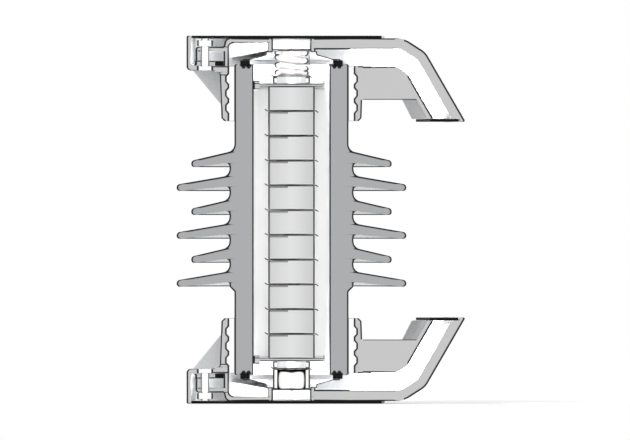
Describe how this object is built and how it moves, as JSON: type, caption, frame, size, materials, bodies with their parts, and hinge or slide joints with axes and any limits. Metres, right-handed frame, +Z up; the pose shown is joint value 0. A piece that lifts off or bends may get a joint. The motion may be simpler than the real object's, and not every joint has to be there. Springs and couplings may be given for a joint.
{
  "type": "surge arrester",
  "caption": "Porcelain-housed surge arrester unit with cast flanges, a venting duct at each end, sealing covers and a spring-loaded stack of metal-oxide blocks inside.",
  "frame": {"origin": "on the housing's axis, at the face that the lower flange and its cover stand on", "axes": "+Z up along the housing's axis, +X towards the outlets of both venting ducts"},
  "size_m": [0.3615, 0.2872, 0.4599],
  "materials": {
    "grey_porcelain": "smooth grey glaze",
    "cast_aluminium": "matt cast surface",
    "cement": "rough and dull",
    "dark_steel_sheet": "dark satin sheet",
    "stainless_sheet": "pressed bright sheet",
    "black_rubber": "matt black",
    "galvanised_steel": "dull zinc coat",
    "aluminium": "machined satin",
    "zinc_oxide": "glazed rim and ground metallised ends",
    "copper": "rolled satin copper",
    "spring_steel": "drawn bright wire",
    "bag_cloth": "woven off-white"
  },
  "bodies": {
    "root": {"porcelain_housing": "grey_porcelain", "lower_flange": "cast_aluminium", "upper_flange": "cast_aluminium", "lower_vent_duct": "cast_aluminium", "upper_vent_duct": "cast_aluminium", "lower_cement": "cement", "upper_cement": "cement", "lower_flange_cover": "dark_steel_sheet", "upper_flange_cover": "dark_steel_sheet", "lower_indication_plate": "dark_steel_sheet", "upper_indication_plate": "dark_steel_sheet", "spacer_sheet_01": "dark_steel_sheet", "spacer_sheet_02": "dark_steel_sheet", "spacer_sheet_03": "dark_steel_sheet", "spacer_sheet_04": "dark_steel_sheet", "spacer_sheet_05": "dark_steel_sheet", "spacer_sheet_06": "dark_steel_sheet", "spacer_sheet_07": "dark_steel_sheet", "spacer_sheet_08": "dark_steel_sheet", "spacer_sheet_09": "dark_steel_sheet", "spacer_sheet_10": "dark_steel_sheet", "base_contact_sheet": "dark_steel_sheet", "spring_contact_sheet": "dark_steel_sheet", "lower_sealing_cover": "stainless_sheet", "upper_sealing_cover": "stainless_sheet", "lower_sealing_ring": "black_rubber", "upper_sealing_ring": "black_rubber", "lower_flange_gasket": "black_rubber", "upper_flange_gasket": "black_rubber", "lower_clamp_bolt_1": "galvanised_steel", "lower_clamp_bolt_2": "galvanised_steel", "lower_clamp_bolt_3": "galvanised_steel", "lower_clamp_bolt_4": "galvanised_steel", "lower_clamp_bolt_5": "galvanised_steel", "upper_clamp_bolt_1": "galvanised_steel", "upper_clamp_bolt_2": "galvanised_steel", "upper_clamp_bolt_3": "galvanised_steel", "upper_clamp_bolt_4": "galvanised_steel", "upper_clamp_bolt_5": "galvanised_steel", "lower_end_plate": "aluminium", "upper_end_plate": "aluminium", "base_ring": "aluminium", "spring_seat_ring": "aluminium", "desiccant_tube": "aluminium", "varistor_block_01": "zinc_oxide", "varistor_block_02": "zinc_oxide", "varistor_block_03": "zinc_oxide", "varistor_block_04": "zinc_oxide", "varistor_block_05": "zinc_oxide", "varistor_block_06": "zinc_oxide", "varistor_block_07": "zinc_oxide", "varistor_block_08": "zinc_oxide", "varistor_block_09": "zinc_oxide", "varistor_block_10": "zinc_oxide", "varistor_block_11": "zinc_oxide", "copper_sheet": "copper", "pressure_spring": "spring_steel", "desiccant_bag": "bag_cloth"}
  },
  "joints": []
}
